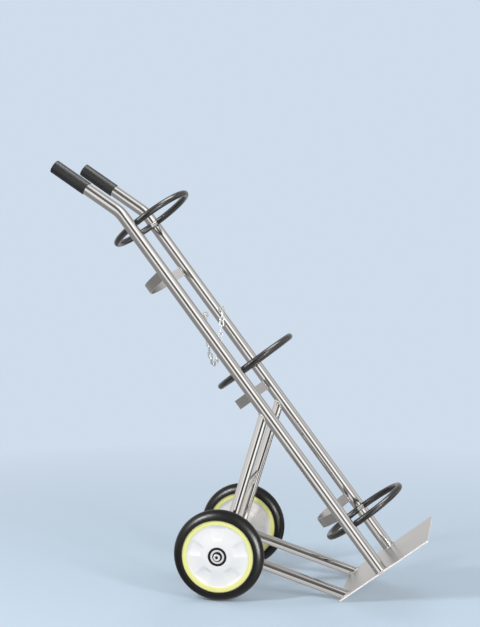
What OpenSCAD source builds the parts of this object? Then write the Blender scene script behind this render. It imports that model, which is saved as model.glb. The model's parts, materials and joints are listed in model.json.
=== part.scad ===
// Two-wheeled hand trolley with a hooped cradle bay.
// It is modelled standing as it is parked: leaning back on its wheels and on the
// rear edge of its toe plate. X runs across, -Y is the front, +Z is up.
// Left is +X, as seen by the person who pushes it.
// Most pieces are drawn upright, with the rails along Z and the plate's top at
// z = 0, and stand() then leans the whole frame back onto the floor.

/* [Bay] */
// Clear diameter inside the hoops' sleeves
bay_d = 220; // [190:1:270]
// Distance of the bay's axis ahead of the rails
bay_offset = 32; // [10:1:60]

/* [Rails] */
// Outside diameter of the rail tube
rail_d = 34; // [32:0.5:42]
// Wall of the rail tube
rail_wall = 2; // [1.5:0.1:4]
// Length from the toe plate to the corner of the bend
rail_len = 1208; // [1195:1:1400]
// Angle by which the handles tilt back from the rails
handle_tilt = 19.2; // [10:0.1:35]
// Length from the corner of the bend to the handle's end
handle_len = 226; // [170:1:300]
// Radius of the bend, on the tube's centre line
bend_r = 90; // [60:1:160]

/* [Grips] */
// Length of a grip
grip_len = 112; // [80:1:150]
// Wall of a grip
grip_wall = 2.2; // [2:0.1:5]
// Thickness of a grip's closed end
grip_end = 5; // [3:0.5:10]
// Rounding of a grip's edges
grip_edge_r = 1.6; // [0.5:0.1:1.8]

/* [Hoops] */
// Diameter of the hoop rod
hoop_rod_d = 13; // [9:0.5:15]
// Outside diameter of the hose over the rod
sleeve_d = 18; // [16:0.5:26]
// Depth to which a rail is let into the hoop rod
hoop_seat = 0.8; // [0.4:0.1:1.5]
// Height of the upper hoop above the plate
upper_hoop_z = 1161; // [1050:1:1165]
// Height of the middle hoop above the plate
middle_hoop_z = 660; // [630:1:690]
// Height of the lower hoop above the plate
lower_hoop_z = 141; // [90:1:145]

/* [Cradles] */
// Width of the cradle bars, along the rails
cradle_w = 28; // [20:1:34]
// Thickness of the cradle bars
cradle_t = 3; // [2:0.5:6]
// Height of the upper cradle above the plate
upper_cradle_z = 1002; // [940:1:1080]
// Room between the bay and the upper cradle
upper_cradle_gap = 14; // [0.5:0.5:21]
// Height of the middle cradle above the plate
middle_cradle_z = 589; // [565:1:605]
// Room between the bay and the middle cradle
middle_cradle_gap = 0.5; // [0.5:0.5:21]
// Height of the lower cradle above the plate
lower_cradle_z = 187; // [185:1:260]
// Room between the bay and the lower cradle
lower_cradle_gap = 7.5; // [0.5:0.5:21]

/* [Toe plate] */
// Reach of the plate in front of the rails
toe_front = 154; // [120:1:220]
// Reach of the plate behind the rails
toe_back = 143; // [110:1:170]
// Thickness of the plate
plate_t = 4; // [3:0.5:8]
// Radius of the plate's corners
plate_corner_r = 5; // [2:0.5:14]

/* [Undercarriage] */
// Distance of the axle behind the rails
axle_back = 329; // [300:1:370]
// Height of the axle above the plate's plane
axle_up = 291; // [260:1:320]
// Outside diameter of the strut tube
strut_d = 28; // [22:0.5:31]
// Wall of the strut tube
strut_wall = 2; // [1.5:0.1:4]
// Height on the rails at which the upper struts meet them
upper_strut_z = 532; // [515:1:540]
// Distance inside the rails at which the struts meet the axle tube
strut_inset = 14; // [8:0.5:24]
// Plate left behind the foot of a lower strut
foot_margin = 2; // [1:0.5:12]
// Width of the cross bar between the upper struts
cross_bar_w = 40; // [25:1:60]
// Thickness of the cross bar
cross_bar_t = 5; // [3:0.5:8]
// Distance of the cross bar from the rails, along the struts
cross_bar_drop = 242; // [120:1:300]
// Outside diameter of the axle tube
axle_tube_d = 34; // [33:0.5:44]
// Length of axle tube outside the lower struts
axle_tube_over = 16; // [6:1:30]
// Diameter of the axle shaft
axle_d = 20; // [17:0.5:22]

/* [Wheels] */
// Outside diameter of a wheel
wheel_d = 250; // [235:1:280]
// Width of a tyre's round section
tyre_w = 50; // [46:1:56]
// Outside diameter of a rim
rim_d = 199; // [190:1:200]
// Width of a rim's face ring
rim_band = 14; // [8:0.5:18]
// Width of a rim
rim_w = 44; // [36:1:45]
// Depth of the tyre's seat in the rim
tyre_seat = 6; // [3:0.5:7]
// Width of the tyre's seat in the rim
tyre_seat_w = 30; // [20:1:32]
// Chamfer of a rim's edges
rim_edge = 1.8; // [0.5:0.1:3]
// Length of a hub between its end faces
hub_len = 50; // [46:1:60]
// Diameter of a hub's boss
hub_boss_d = 62; // [56:1:70]
// Thickness of a hub's web
hub_web = 38; // [24:1:40]
// Width of the slope from a hub's boss to its web
hub_skirt = 10; // [4:1:16]
// Gap between a hub and the axle tube's end
hub_clear = 7; // [4:0.5:15]
// Number of pockets in a hub's face
pocket_count = 5; // [3:1:8]
// Depth of the pockets in a hub's face
pocket_depth = 1.5; // [1:0.5:5]
// Width of the ribs between the pockets, at their inner ends
pocket_rib = 30; // [20:1:36]
// Width of the land inside and outside the pockets
pocket_land = 5; // [3:0.5:10]

/* [Bearings] */
// Outside diameter of a wheel bearing
bearing_d = 47; // [42:1:48]
// Width of a wheel bearing
bearing_w = 14; // [12:0.5:16]
// Diameter of a bearing ball
ball_d = 7.9; // [6:0.1:8]
// Distance of a ring's land from the balls' centre circle
ring_land = 2.7; // [2.2:0.1:3]
// Number of balls in a bearing
ball_count = 8; // [6:1:9]
// Outside diameter of a dust seal
seal_d = 51; // [49:0.5:54]
// Thickness of a dust seal
seal_t = 4; // [2:0.5:5]

/* [Axle ends] */
// Thickness of a retaining washer
washer_t = 3; // [2:0.5:5]
// Diameter of an axle bolt's shank
bolt_d = 10; // [6:0.5:10]
// Length of an axle bolt's shank inside the shaft
bolt_len = 30; // [15:1:50]
// Diameter of an axle bolt's head
bolt_head_d = 19; // [16:0.5:22]
// Height of an axle bolt's head
bolt_head_h = 8; // [6:0.5:12]
// Chamfer of an axle bolt's head
bolt_edge = 1; // [0.5:0.1:2]
// Size across the flats of an axle bolt's socket
bolt_socket = 8; // [6:0.5:10]
// Depth of an axle bolt's socket
bolt_socket_h = 5; // [3:0.5:5]
// Diameter of the sealing washer under an axle bolt's head
sealing_d = 27; // [24:0.5:30]
// Thickness of the sealing washer
sealing_t = 2; // [1:0.5:4]

/* [Chain] */
// Height of the chain eyes above the plate
eye_z = 842; // [815:1:900]
// Wire diameter of an eye
eye_wire = 4; // [3:0.5:4.5]
// Radius of an eye, on its wire's centre line
eye_r = 6.5; // [6:0.5:10]
// Distance from the rail's axis to the back of an eye
eye_reach = 26; // [24:0.5:32]
// Angle at which an eye stands inwards from the rail's front
eye_turn = 55; // [50:1:65]
// Wire diameter of the links
link_wire = 3.5; // [3:0.1:3.7]
// Clear length inside a link
link_len = 24; // [20:0.5:30]
// Clear width inside a link
link_in_w = 6.4; // [6:0.1:7.5]
// Number of links, with the hook
link_count = 17; // [15:2:17]

/* [Fits] */
// Clearance of a fixed fit, on the radius
seat_fit = 0.05; // [0.02:0.01:0.1]
// Clearance between a ball and its tracks
track_fit = 0.25; // [0.1:0.05:0.3]
// Clearance between pieces that turn past each other
turn_gap = 0.5; // [0.3:0.1:1.5]
// Play between two links
link_play = 0.6; // [0.5:0.05:0.8]
// Room between the end of a sleeve and a rail
sleeve_gap = 1; // [0.5:0.1:3]

/* [Hidden] */
$fn = 96;

left = 1;
right = -1;

// Colours
steel = [0.78, 0.78, 0.79];
dark_steel = [0.58, 0.59, 0.61];
zinc = [0.82, 0.85, 0.88];
black_rubber = [0.07, 0.07, 0.075];
rim_yellow = [0.93, 0.9, 0.62];
hub_white = [0.94, 0.94, 0.95];

// A margin by which cutting shapes pass the faces that they cut
cut = 5;
// A straight run goes this far into its bend, which is fuller by the swell
bend_lap = 0.5;
bend_swell = 0.1;

// Bay, hoops and rails
hoop_r = (bay_d + sleeve_d) / 2;
rail_reach = hoop_r + hoop_rod_d / 2 + rail_d / 2 - hoop_seat;
rail_x = sqrt(pow(rail_reach, 2) - pow(bay_offset, 2));
rail_turn = atan2(bay_offset, rail_x);
sleeve_r = hoop_r + sleeve_d / 2;
sleeve_stop_r = rail_d / 2 + sleeve_gap;
sleeve_stop = acos((pow(sleeve_r, 2) + pow(rail_reach, 2) - pow(sleeve_stop_r, 2))
    / (2 * sleeve_r * rail_reach));
bend_run = bend_r * tan(handle_tilt / 2);
grip_r = rail_d / 2 + grip_wall;
plate_x = rail_x + rail_d / 2;

// Undercarriage
strut_x = rail_x - strut_inset;
lower_strut_rise = atan2(axle_up, axle_back - toe_back);
lower_foot_y = toe_back - foot_margin - strut_d / 2 / sin(lower_strut_rise);
axle_tube_x = strut_x + strut_d / 2 + axle_tube_over;

// Wheel stations, along the wheel's own axis with outboard positive
wheel_r = wheel_d / 2;
tyre_r = wheel_r - tyre_w / 2;
rim_r = rim_d / 2;
hub_r = rim_r - rim_band - seat_fit;
bearing_face = hub_len / 2 - seal_t;
bearing_mid = bearing_face - bearing_w / 2;
ball_r = (axle_d + bearing_d) / 4;
track_r = ball_d / 2 + track_fit;
inner_ring_r = ball_r - ring_land;
outer_ring_r = ball_r + ring_land;
washer_r = outer_ring_r - turn_gap;
hub_bore_r = outer_ring_r + turn_gap;
collar_len = seal_t + hub_clear;
wheel_x = axle_tube_x + collar_len + bearing_face;
shaft_end = wheel_x + bearing_face - turn_gap;

// Lean at which the wheels and the plate's rear edge both touch the floor
edge_to_axle = [axle_back - toe_back, axle_up + plate_t];
lean = atan2(edge_to_axle[1], edge_to_axle[0]) - asin(wheel_r / norm(edge_to_axle));
grip_lean = lean + handle_tilt;

// Place of the upright drawing on the floor, with the box centred on the origin
function leaned_y(y, z) = y * cos(lean) + z * sin(lean);
function leaned_z(y, z) = z * cos(lean) - y * sin(lean);
handle_end_y = handle_len * sin(handle_tilt);
handle_end_z = rail_len + handle_len * cos(handle_tilt);
front_y = leaned_y(-toe_front, -plate_t);
back_y = leaned_y(handle_end_y, handle_end_z) + (grip_r - grip_edge_r) * cos(grip_lean)
    + grip_edge_r * (1 - sin(grip_lean));
shift_y = -(front_y + back_y) / 2;
shift_z = -leaned_z(toe_back, -plate_t);

// Chain eyes, and the chain as it hangs between them
eye_x = rail_x - eye_reach * sin(eye_turn);
eye_y = -eye_reach * cos(eye_turn) - eye_r;
chain_y = leaned_y(eye_y, eye_z) + shift_y;
chain_z = leaned_z(eye_y, eye_z) + shift_z - eye_r;
link_pitch = link_len - link_play;
end_pitch = link_len - eye_wire / 2 - 1.5 * link_play;
last_link = (link_count - 1) / 2;
chain_span = 2 * eye_x;

// Hung links take slopes that grow evenly from the lowest one, so that each slope's
// tangent is its number from the middle times one hang ratio.
function pitch_of(i) = abs(i) == last_link ? end_pitch : link_pitch;
function slope_of(i, hang) = atan(i * hang);
function sum_of(list, i = 0) = i < len(list) ? list[i] + sum_of(list, i + 1) : 0;
function span_at(hang) =
    sum_of([for (i = [-last_link:last_link]) pitch_of(i) * cos(slope_of(i, hang))]);
function hang_for(span, low = 0, high = 4, steps = 40) =
    steps == 0 ? (low + high) / 2
    : span_at((low + high) / 2) > span
        ? hang_for(span, (low + high) / 2, high, steps - 1)
        : hang_for(span, low, (low + high) / 2, steps - 1);
hang = hang_for(chain_span);
function run_to(i) = -chain_span / 2
    + sum_of([for (j = [-last_link:1:i - 1]) pitch_of(j) * cos(slope_of(j, hang))]);
function drop_to(i) =
    sum_of([for (j = [-last_link:1:i - 1]) pitch_of(j) * sin(slope_of(j, hang))]);

// Places

module stand() {
    translate([0, shift_y, shift_z]) rotate([-lean, 0, 0]) children();
}

module at_bay(z) {
    translate([0, -bay_offset, z]) children();
}

module at_wheel(side) {
    translate([side * wheel_x, axle_back, axle_up]) rotate([0, side * 90, 0]) children();
}

module on_both_faces() {
    children();
    mirror([0, 0, 1]) children();
}

module handle_frame(side) {
    translate([side * rail_x, 0, rail_len]) rotate([-handle_tilt, 0, 0]) children();
}

// Shared shapes

module disc(r, z_low, z_high) {
    translate([0, 0, z_low]) cylinder(r = r, h = z_high - z_low);
}

module tube(d, wall, h) {
    difference() {
        cylinder(d = d, h = h);
        translate([0, 0, -cut]) cylinder(d = d - 2 * wall, h = h + 2 * cut);
    }
}

module washer_ring(outer_r, inner_r, z_low, z_high) {
    difference() {
        disc(outer_r, z_low, z_high);
        disc(inner_r, z_low - cut, z_high + cut);
    }
}

module along(a, b) {
    v = b - a;
    translate(a) rotate([0, acos(v[2] / norm(v)), atan2(v[1], v[0])]) children();
}

module rail_cutter(side, z_low, z_high) {
    translate([side * rail_x, 0, 0]) disc(rail_d / 2, z_low, z_high);
}

module axle_cutter(d) {
    translate([0, axle_back, axle_up]) rotate([0, 90, 0])
        cylinder(d = d, h = 2 * (axle_tube_x + cut), center = true);
}

// Rails and grips

// The rail's path, passing both of its ends by the given length
module rail_run(side, d, past) {
    straight = rail_len - bend_run;
    translate([side * rail_x, 0, 0]) {
        disc(d / 2, -past, straight + bend_lap);
        translate([0, bend_r, straight]) rotate([90, 0, -90])
            rotate_extrude(angle = handle_tilt) translate([bend_r, 0]) circle(d = d + bend_swell);
    }
    handle_frame(side) disc(d / 2, bend_run - bend_lap, handle_len - grip_end + past);
}

module rail(side) {
    difference() {
        rail_run(side, rail_d, 0);
        rail_run(side, rail_d - 2 * rail_wall, cut);
    }
}

module left_rail() {
    color(steel) stand() rail(left);
}

module right_rail() {
    color(steel) stand() rail(right);
}

module grip(side) {
    edge = grip_r - grip_edge_r;
    handle_frame(side) translate([0, 0, handle_len - grip_len]) difference() {
        union() {
            disc(grip_r, grip_edge_r, grip_len - grip_edge_r);
            disc(edge, 0, grip_len);
            for (z = [grip_edge_r, grip_len - grip_edge_r])
                translate([0, 0, z]) rotate_extrude() translate([edge, 0])
                    circle(r = grip_edge_r);
        }
        disc(rail_d / 2 + seat_fit, -cut, grip_len - grip_end);
    }
}

module left_grip() {
    color(black_rubber) stand() grip(left);
}

module right_grip() {
    color(black_rubber) stand() grip(right);
}

// Hoops and their sleeves

module hoop_ring(z) {
    color(dark_steel) stand() difference() {
        at_bay(z) rotate_extrude() translate([hoop_r, 0]) circle(d = hoop_rod_d);
        for (side = [left, right])
            rail_cutter(side, z - hoop_rod_d, z + hoop_rod_d);
    }
}

module sleeve(z, start, sweep) {
    color(black_rubber) stand() at_bay(z) rotate([0, 0, start])
        rotate_extrude(angle = sweep) translate([hoop_r, 0]) difference() {
            circle(d = sleeve_d);
            circle(d = hoop_rod_d + 2 * seat_fit);
        }
}

module front_sleeve(z) {
    sleeve(z, 180 - rail_turn + sleeve_stop, 180 + 2 * (rail_turn - sleeve_stop));
}

module rear_sleeve(z) {
    sleeve(z, rail_turn + sleeve_stop, 180 - 2 * (rail_turn + sleeve_stop));
}

module upper_hoop_ring() {
    hoop_ring(upper_hoop_z);
}

module middle_hoop_ring() {
    hoop_ring(middle_hoop_z);
}

module lower_hoop_ring() {
    hoop_ring(lower_hoop_z);
}

module upper_front_sleeve() {
    front_sleeve(upper_hoop_z);
}

module upper_rear_sleeve() {
    rear_sleeve(upper_hoop_z);
}

module middle_front_sleeve() {
    front_sleeve(middle_hoop_z);
}

module middle_rear_sleeve() {
    rear_sleeve(middle_hoop_z);
}

module lower_front_sleeve() {
    front_sleeve(lower_hoop_z);
}

module lower_rear_sleeve() {
    rear_sleeve(lower_hoop_z);
}

// Cradles: an arc behind the bay with straight legs that run to the rails

module cradle(z, gap) {
    inner_r = bay_d / 2 + gap;
    leg_turn = acos((inner_r + cradle_t / 2) / rail_reach);
    leg_len = rail_reach * sin(leg_turn);
    arc_start = rail_turn + leg_turn;
    color(steel) stand() difference() {
        at_bay(z) {
            rotate([0, 0, arc_start]) rotate_extrude(angle = 180 - 2 * arc_start)
                translate([inner_r - bend_swell / 2, -(cradle_w + bend_swell) / 2])
                    square([cradle_t + bend_swell, cradle_w + bend_swell]);
            for (flip = [0, 1])
                mirror([flip, 0, 0]) rotate([0, 0, arc_start])
                    translate([inner_r, -leg_len, -cradle_w / 2])
                        cube([cradle_t, leg_len + bend_lap, cradle_w]);
        }
        for (side = [left, right])
            rail_cutter(side, z - cradle_w, z + cradle_w);
    }
}

module upper_cradle() {
    cradle(upper_cradle_z, upper_cradle_gap);
}

module middle_cradle() {
    cradle(middle_cradle_z, middle_cradle_gap);
}

module lower_cradle() {
    cradle(lower_cradle_z, lower_cradle_gap);
}

// Toe plate

module toe_plate() {
    depth = toe_front + toe_back;
    inset_x = plate_x - plate_corner_r;
    color(steel) stand() translate([0, -toe_front, -plate_t]) {
        translate([-inset_x, 0, 0]) cube([2 * inset_x, depth, plate_t]);
        translate([-plate_x, plate_corner_r, 0])
            cube([2 * plate_x, depth - 2 * plate_corner_r, plate_t]);
        for (x = [-inset_x, inset_x], y = [plate_corner_r, depth - plate_corner_r])
            translate([x, y, 0]) cylinder(r = plate_corner_r, h = plate_t);
    }
}

// Struts, cross bar and axle

function upper_strut_top(side) = [side * rail_x, 0, upper_strut_z];
function strut_joint(side) = [side * strut_x, axle_back, axle_up];
function lower_strut_foot(side) = [side * strut_x, lower_foot_y, 0];

module upper_strut(side) {
    top = upper_strut_top(side);
    foot = strut_joint(side);
    color(steel) stand() difference() {
        along(top, foot) tube(strut_d, strut_wall, norm(foot - top));
        rail_cutter(side, upper_strut_z - rail_d * 2, upper_strut_z + rail_d * 2);
        axle_cutter(axle_tube_d);
    }
}

module left_upper_strut() {
    upper_strut(left);
}

module right_upper_strut() {
    upper_strut(right);
}

module lower_strut(side) {
    top = strut_joint(side);
    foot = lower_strut_foot(side);
    upper_end = upper_strut_top(side);
    color(steel) stand() difference() {
        along(top, foot) tube(strut_d, strut_wall, norm(foot - top) + strut_d);
        translate([side * strut_x - strut_d, 0, -2 * strut_d])
            cube([2 * strut_d, axle_back, 2 * strut_d]);
        along(top, upper_end) cylinder(d = strut_d, h = norm(upper_end - top));
        axle_cutter(axle_tube_d);
    }
}

module left_lower_strut() {
    lower_strut(left);
}

module right_lower_strut() {
    lower_strut(right);
}

module strut_cross_bar() {
    run = strut_joint(left) - upper_strut_top(left);
    mid = upper_strut_top(left) + run * cross_bar_drop / norm(run);
    color(steel) stand() difference() {
        translate([0, mid[1], mid[2]]) rotate([atan2(run[2], run[1]) - 90, 0, 0])
            cube([2 * mid[0], cross_bar_t, cross_bar_w], center = true);
        for (side = [left, right])
            along(upper_strut_top(side), strut_joint(side))
                cylinder(d = strut_d, h = norm(run));
    }
}

module axle_tube() {
    color(steel) stand() difference() {
        translate([0, axle_back, axle_up]) rotate([0, 90, 0])
            cylinder(d = axle_tube_d, h = 2 * axle_tube_x, center = true);
        axle_cutter(axle_d + 2 * seat_fit);
    }
}

module axle_shaft() {
    color(dark_steel) stand() translate([0, axle_back, axle_up]) rotate([0, 90, 0])
        difference() {
            cylinder(d = axle_d, h = 2 * shaft_end, center = true);
            on_both_faces()
                disc(bolt_d / 2 + seat_fit, shaft_end - bolt_len - turn_gap, shaft_end + cut);
        }
}

// Chain eyes, links and hook

module chain_eye(side) {
    stem_back = [side * rail_x, 0, eye_z];
    stem_front = [side * eye_x, eye_y + eye_r, eye_z];
    color(steel) stand() difference() {
        union() {
            translate([side * eye_x, eye_y, eye_z]) rotate([0, 90, 0])
                rotate_extrude() translate([eye_r, 0]) circle(d = eye_wire);
            along(stem_back, stem_front) cylinder(d = eye_wire, h = eye_reach);
        }
        rail_cutter(side, eye_z - rail_d, eye_z + rail_d);
    }
}

module left_chain_eye() {
    chain_eye(left);
}

module right_chain_eye() {
    chain_eye(right);
}

module half_bow() {
    rotate_extrude(angle = 180) translate([(link_in_w + link_wire) / 2, 0])
        circle(d = link_wire);
}

module link() {
    side_len = link_len - link_in_w;
    side_x = (link_in_w + link_wire) / 2;
    for (x = [-side_x, side_x])
        translate([x, side_len / 2, 0]) rotate([90, 0, 0])
            cylinder(d = link_wire, h = side_len);
    translate([0, side_len / 2, 0]) half_bow();
    translate([0, -side_len / 2, 0]) rotate([0, 0, 180]) half_bow();
}

// A link's place: its length along the chain, and every second one turned flat
module at_link(i) {
    slope = slope_of(i, hang);
    back = abs(i) < last_link ? link_pitch / 2
        : i < 0 ? end_pitch - link_pitch / 2 : link_pitch / 2;
    translate([run_to(i), chain_y, chain_z + drop_to(i)]) rotate([0, -slope, 0])
        translate([back, 0, 0]) rotate([(i + last_link) % 2 == 0 ? 90 : 0, 0, 0])
            rotate([0, 0, 90]) children();
}

module chain_links() {
    color(zinc)
        for (i = [-last_link:last_link - 1])
            at_link(i) link();
}

module chain_hook() {
    mouth = link_wire + link_play;
    color(zinc) at_link(last_link) difference() {
        link();
        translate([0, (link_in_w - link_len) / 2, -link_wire])
            cube([link_in_w + link_wire, mouth, 2 * link_wire]);
    }
}

// Wheels

module tyre(side) {
    seat_r = rim_r + seat_fit;
    color(black_rubber) stand() at_wheel(side) rotate_extrude() {
        intersection() {
            translate([tyre_r, 0]) circle(d = tyre_w);
            translate([seat_r, -tyre_w]) square([tyre_w, 2 * tyre_w]);
        }
        translate([seat_r - tyre_seat, seat_fit - tyre_seat_w / 2])
            square([tyre_seat + cut, tyre_seat_w - 2 * seat_fit]);
    }
}

module rim(side) {
    low = rim_r - rim_band;
    face = rim_w / 2;
    color(rim_yellow) stand() at_wheel(side) difference() {
        rotate_extrude() polygon([
            [low, rim_edge - face], [low + rim_edge, -face], [rim_r - rim_edge, -face],
            [rim_r, rim_edge - face], [rim_r, face - rim_edge], [rim_r - rim_edge, face],
            [low + rim_edge, face], [low, face - rim_edge]
        ]);
        washer_ring(rim_r + cut, rim_r - tyre_seat, -tyre_seat_w / 2, tyre_seat_w / 2);
    }
}

module hub_pocket(low_r, high_r) {
    rib_turn = pocket_rib / low_r * 180 / PI;
    for (i = [0:pocket_count - 1])
        rotate([0, 0, i * 360 / pocket_count + rib_turn / 2])
            rotate_extrude(angle = 360 / pocket_count - rib_turn)
                translate([low_r, hub_web / 2 - pocket_depth])
                    square([high_r - low_r, pocket_depth + cut]);
}

module hub(side) {
    boss_r = hub_boss_d / 2;
    web = hub_web / 2;
    end = hub_len / 2;
    skirt_r = boss_r + hub_skirt;
    seat_end = bearing_face - bearing_w;
    color(hub_white) stand() at_wheel(side) difference() {
        rotate_extrude() polygon([
            [hub_bore_r, -end], [boss_r, -end], [skirt_r, -web], [hub_r, -web],
            [hub_r, web], [skirt_r, web], [boss_r, end], [hub_bore_r, end]
        ]);
        on_both_faces() {
            disc(bearing_d / 2 + seat_fit, seat_end, end + cut);
            disc(seal_d / 2 + seat_fit, bearing_face, end + cut);
            hub_pocket(skirt_r + pocket_land, hub_r - pocket_land);
        }
    }
}

module bearing_outer_rings(side) {
    color(dark_steel) stand() at_wheel(side) on_both_faces() translate([0, 0, bearing_mid])
        difference() {
            washer_ring(bearing_d / 2, outer_ring_r, -bearing_w / 2, bearing_w / 2);
            rotate_extrude() translate([ball_r, 0]) circle(r = track_r);
        }
}

module bearing_inner_rings(side) {
    color(dark_steel) stand() at_wheel(side) on_both_faces() translate([0, 0, bearing_mid])
        difference() {
            washer_ring(inner_ring_r, axle_d / 2 + seat_fit, -bearing_w / 2, bearing_w / 2);
            rotate_extrude() translate([ball_r, 0]) circle(r = track_r);
        }
}

module bearing_balls(side) {
    color(steel) stand() at_wheel(side) on_both_faces() translate([0, 0, bearing_mid])
        for (i = [0:ball_count - 1])
            rotate([0, 0, i * 360 / ball_count]) translate([ball_r, 0, 0]) sphere(d = ball_d);
}

module dust_seals(side) {
    color(black_rubber) stand() at_wheel(side) on_both_faces()
        washer_ring(seal_d / 2, outer_ring_r, bearing_face, bearing_face + seal_t);
}

module bearing_spacer(side) {
    reach = bearing_face - bearing_w;
    color(dark_steel) stand() at_wheel(side)
        washer_ring(inner_ring_r, axle_d / 2 + seat_fit, -reach, reach);
}

module axle_collar(side) {
    color(dark_steel) stand() at_wheel(side)
        washer_ring(inner_ring_r, axle_d / 2 + seat_fit, -bearing_face - collar_len, -bearing_face);
}

module washer(side) {
    color(steel) stand() at_wheel(side)
        washer_ring(washer_r, bolt_d / 2 + seat_fit, bearing_face, bearing_face + washer_t);
}

module sealing_washer(side) {
    seat = bearing_face + washer_t;
    color(black_rubber) stand() at_wheel(side)
        washer_ring(sealing_d / 2, bolt_d / 2 + seat_fit, seat, seat + sealing_t);
}

module axle_bolt(side) {
    head = bearing_face + washer_t + sealing_t;
    top = head + bolt_head_h;
    shank_end = shaft_end - wheel_x - bolt_len;
    head_r = bolt_head_d / 2;
    color(steel) stand() at_wheel(side) difference() {
        union() {
            disc(bolt_d / 2, shank_end, head);
            disc(head_r, head, top - bolt_edge);
            translate([0, 0, top - bolt_edge])
                cylinder(r1 = head_r, r2 = head_r - bolt_edge, h = bolt_edge);
        }
        translate([0, 0, top - bolt_socket_h])
            cylinder(d = bolt_socket / cos(30), h = bolt_socket_h + cut, $fn = 6);
    }
}

module left_tyre() {
    tyre(left);
}

module left_rim() {
    rim(left);
}

module left_hub() {
    hub(left);
}

module left_bearing_outer_rings() {
    bearing_outer_rings(left);
}

module left_bearing_balls() {
    bearing_balls(left);
}

module left_dust_seals() {
    dust_seals(left);
}

module left_bearing_inner_rings() {
    bearing_inner_rings(left);
}

module left_bearing_spacer() {
    bearing_spacer(left);
}

module left_axle_collar() {
    axle_collar(left);
}

module left_washer() {
    washer(left);
}

module left_sealing_washer() {
    sealing_washer(left);
}

module left_axle_bolt() {
    axle_bolt(left);
}

module right_tyre() {
    tyre(right);
}

module right_rim() {
    rim(right);
}

module right_hub() {
    hub(right);
}

module right_bearing_outer_rings() {
    bearing_outer_rings(right);
}

module right_bearing_balls() {
    bearing_balls(right);
}

module right_dust_seals() {
    dust_seals(right);
}

module right_bearing_inner_rings() {
    bearing_inner_rings(right);
}

module right_bearing_spacer() {
    bearing_spacer(right);
}

module right_axle_collar() {
    axle_collar(right);
}

module right_washer() {
    washer(right);
}

module right_sealing_washer() {
    sealing_washer(right);
}

module right_axle_bolt() {
    axle_bolt(right);
}

left_rail();
right_rail();
left_grip();
right_grip();
upper_hoop_ring();
middle_hoop_ring();
lower_hoop_ring();
upper_front_sleeve();
upper_rear_sleeve();
middle_front_sleeve();
middle_rear_sleeve();
lower_front_sleeve();
lower_rear_sleeve();
upper_cradle();
middle_cradle();
lower_cradle();
toe_plate();
left_upper_strut();
right_upper_strut();
left_lower_strut();
right_lower_strut();
strut_cross_bar();
axle_tube();
axle_shaft();
left_chain_eye();
right_chain_eye();
chain_links();
chain_hook();
left_tyre();
left_rim();
left_hub();
left_bearing_outer_rings();
left_bearing_balls();
left_dust_seals();
left_bearing_inner_rings();
left_bearing_spacer();
left_axle_collar();
left_washer();
left_sealing_washer();
left_axle_bolt();
right_tyre();
right_rim();
right_hub();
right_bearing_outer_rings();
right_bearing_balls();
right_dust_seals();
right_bearing_inner_rings();
right_bearing_spacer();
right_axle_collar();
right_washer();
right_sealing_washer();
right_axle_bolt();
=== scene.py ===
"""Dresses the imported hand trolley: finishes for its nodes, eased copies of a few of them,
hub mouldings, weld beads, studio and camera.

Lengths are in metres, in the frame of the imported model: X across, -Y front, Z up.
The frame's own pieces are easier to place upright, so stand() leans a point back
as the model does: rails along Z, the toe plate's top at z = 0.
"""

import json
import math

import bmesh
import bpy
from mathutils import Matrix, Vector

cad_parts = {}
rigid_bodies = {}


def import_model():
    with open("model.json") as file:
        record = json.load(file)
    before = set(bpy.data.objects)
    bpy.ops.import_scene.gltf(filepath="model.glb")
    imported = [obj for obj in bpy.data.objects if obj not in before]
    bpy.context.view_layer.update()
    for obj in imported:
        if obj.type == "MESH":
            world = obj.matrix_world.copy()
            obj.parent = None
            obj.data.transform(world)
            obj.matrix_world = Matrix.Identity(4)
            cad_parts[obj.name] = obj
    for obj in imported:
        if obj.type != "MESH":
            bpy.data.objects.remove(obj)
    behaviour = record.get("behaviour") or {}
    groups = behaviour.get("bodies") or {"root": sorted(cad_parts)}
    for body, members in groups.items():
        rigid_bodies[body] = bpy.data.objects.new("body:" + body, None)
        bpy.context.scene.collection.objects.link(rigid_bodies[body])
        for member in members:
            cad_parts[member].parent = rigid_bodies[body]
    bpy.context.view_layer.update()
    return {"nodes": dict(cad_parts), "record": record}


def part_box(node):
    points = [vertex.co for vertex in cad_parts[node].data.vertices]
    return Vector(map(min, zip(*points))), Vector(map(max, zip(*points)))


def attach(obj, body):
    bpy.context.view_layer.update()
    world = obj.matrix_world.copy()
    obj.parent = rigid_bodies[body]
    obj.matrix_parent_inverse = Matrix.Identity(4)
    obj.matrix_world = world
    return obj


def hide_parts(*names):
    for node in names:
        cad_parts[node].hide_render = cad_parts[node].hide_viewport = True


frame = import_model()

# Sizes that the weld beads follow, as in the part's source

RAIL_R = 0.017
RAIL_X = 0.13804
BAY_R = 0.110
BAY_OFFSET = 0.032
HOOP_R = 0.119
HOOP_ROD_R = 0.0065
HOOP_SEAT = 0.0008
HOOP_HEIGHTS = (1.161, 0.660, 0.141)
RAIL_REACH = HOOP_R + HOOP_ROD_R + RAIL_R - HOOP_SEAT
CRADLE_W = 0.028
CRADLE_T = 0.003
# Height of each cradle up the rails, and the gap that it leaves round the bay
CRADLES = ((1.002, 0.014), (0.589, 0.0005), (0.187, 0.0075))
STRUT_R = 0.014
STRUT_X = 0.12404
UPPER_STRUT_Z = 0.532
LOWER_FOOT_Y = 0.12438
AXLE_AT = Vector((0.0, 0.329, 0.291))
AXLE_TUBE_R = 0.017
CROSS_BAR_W = 0.040
CROSS_BAR_T = 0.005
CROSS_BAR_DROP = 0.242
EYE_Z = 0.842
EYE_TURN = math.radians(55)
EYE_WIRE_R = 0.002

# How the upright drawing leans back and where it then stands

LEAN = math.radians(36.7643)
SHIFT = Vector((0.0, -0.397332, 0.088794))

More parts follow.
